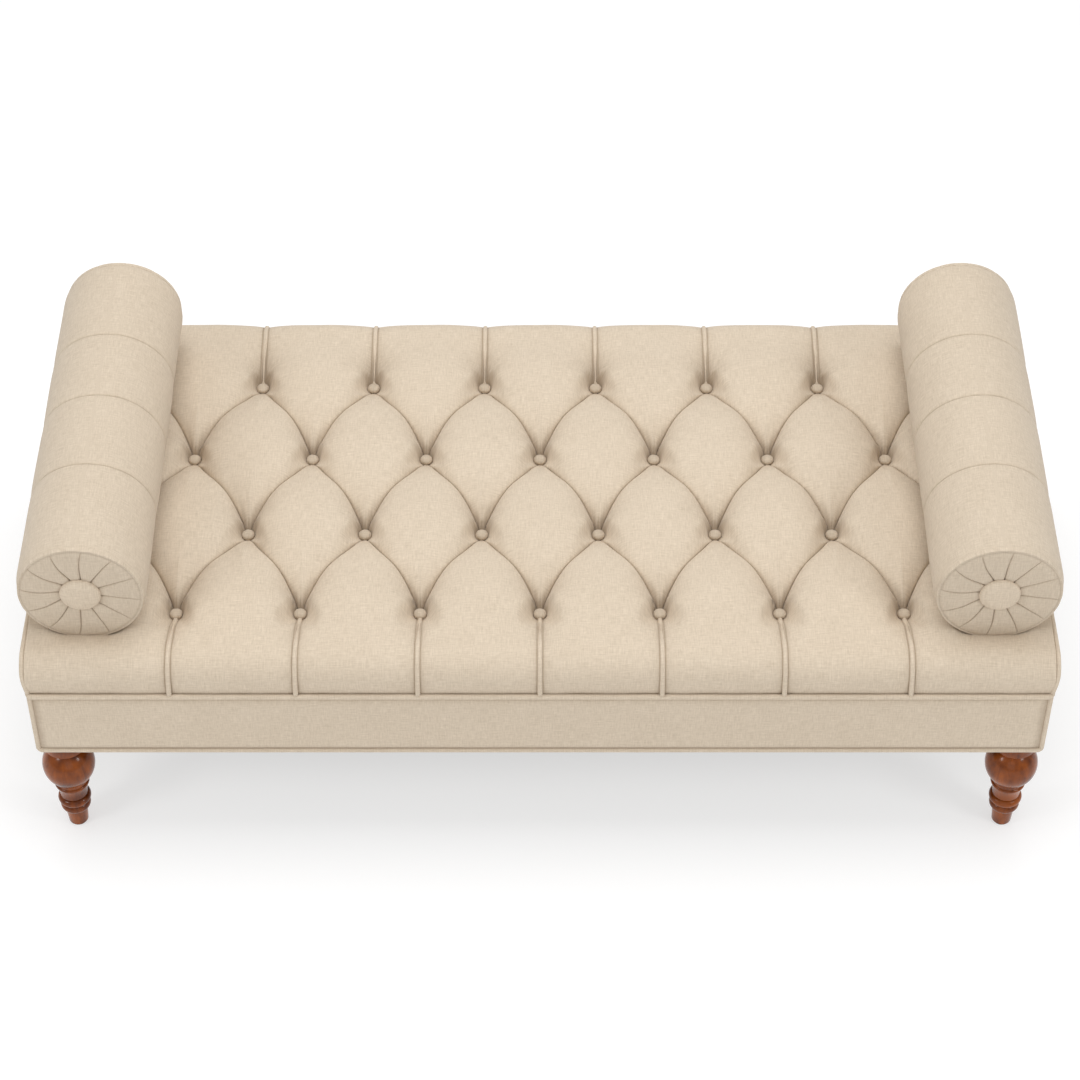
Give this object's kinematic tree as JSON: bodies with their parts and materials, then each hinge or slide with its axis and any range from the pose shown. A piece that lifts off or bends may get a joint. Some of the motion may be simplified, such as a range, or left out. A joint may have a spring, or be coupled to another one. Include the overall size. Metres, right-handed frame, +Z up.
{
  "type": "upholstered bench",
  "caption": "Long fabric bench with a diamond-tufted seat, loose bolster cushions across its ends and turned wooden legs, for sitting at the foot of a bed or in a hall.",
  "frame": {"origin": "on the floor under the middle of the bench", "axes": "+X along the length, -Y out of the front, +Z up"},
  "size_m": [1.427, 0.741, 0.527],
  "materials": {
    "seat_linen": "matt oatmeal linen weave",
    "welt_linen": "the same linen on piping cord",
    "button_linen": "linen-covered button",
    "bolster_linen": "matt oatmeal linen weave",
    "foam": "upholstery foam",
    "twine": "waxed tufting twine",
    "dust_cloth": "black non-woven cloth",
    "frame_wood": "planed hardwood",
    "plywood": "plywood",
    "turned_wood": "turned, red-brown stain and gloss lacquer",
    "zinc_steel": "zinc-plated steel",
    "glide_plastic": "moulded nylon"
  },
  "bodies": {
    "frame": {"front_rail": "frame_wood", "back_rail": "frame_wood", "left_end_rail": "frame_wood", "right_end_rail": "frame_wood", "corner_post_front_left": "frame_wood", "corner_post_back_left": "frame_wood", "corner_post_front_right": "frame_wood", "corner_post_back_right": "frame_wood", "left_cross_rail": "frame_wood", "right_cross_rail": "frame_wood", "rail_dowels": "frame_wood", "seat_deck": "plywood", "deck_screws": "zinc_steel", "cross_rail_screws": "zinc_steel", "leg_bolts": "zinc_steel", "leg_plate_screws": "zinc_steel", "leg_plates": "zinc_steel", "twine_washers": "zinc_steel", "dust_cover_staples": "zinc_steel", "seat_foam": "foam", "seat_cover": "seat_linen", "left_end_panel": "seat_linen", "right_end_panel": "seat_linen", "front_band": "seat_linen", "back_band": "seat_linen", "left_end_band": "seat_linen", "right_end_band": "seat_linen", "top_welt": "welt_linen", "bottom_welt": "welt_linen", "corner_welts": "welt_linen", "left_end_welt": "welt_linen", "right_end_welt": "welt_linen", "front_channel_welts": "welt_linen", "back_channel_welts": "welt_linen", "seat_buttons": "button_linen", "tuft_twine": "twine", "dust_cover": "dust_cloth", "leg_front_left": "turned_wood", "leg_back_left": "turned_wood", "leg_front_right": "turned_wood", "leg_back_right": "turned_wood", "foot_glides": "glide_plastic"},
    "left_bolster": {"left_bolster_core": "foam", "left_bolster_buttons": "button_linen", "left_bolster_cover": "bolster_linen", "left_bolster_front_end": "bolster_linen", "left_bolster_back_end": "bolster_linen", "left_bolster_twine": "twine"},
    "right_bolster": {"right_bolster_core": "foam", "right_bolster_buttons": "button_linen", "right_bolster_cover": "bolster_linen", "right_bolster_front_end": "bolster_linen", "right_bolster_back_end": "bolster_linen", "right_bolster_twine": "twine"}
  },
  "joints": [
    {"name": "left_bolster_lift", "type": "slide", "parent": "frame", "child": "left_bolster", "axis": [0, 0, 1], "range_m": [0, 0.15]},
    {"name": "right_bolster_lift", "type": "slide", "parent": "frame", "child": "right_bolster", "axis": [0, 0, 1], "range_m": [0, 0.15]}
  ]
}
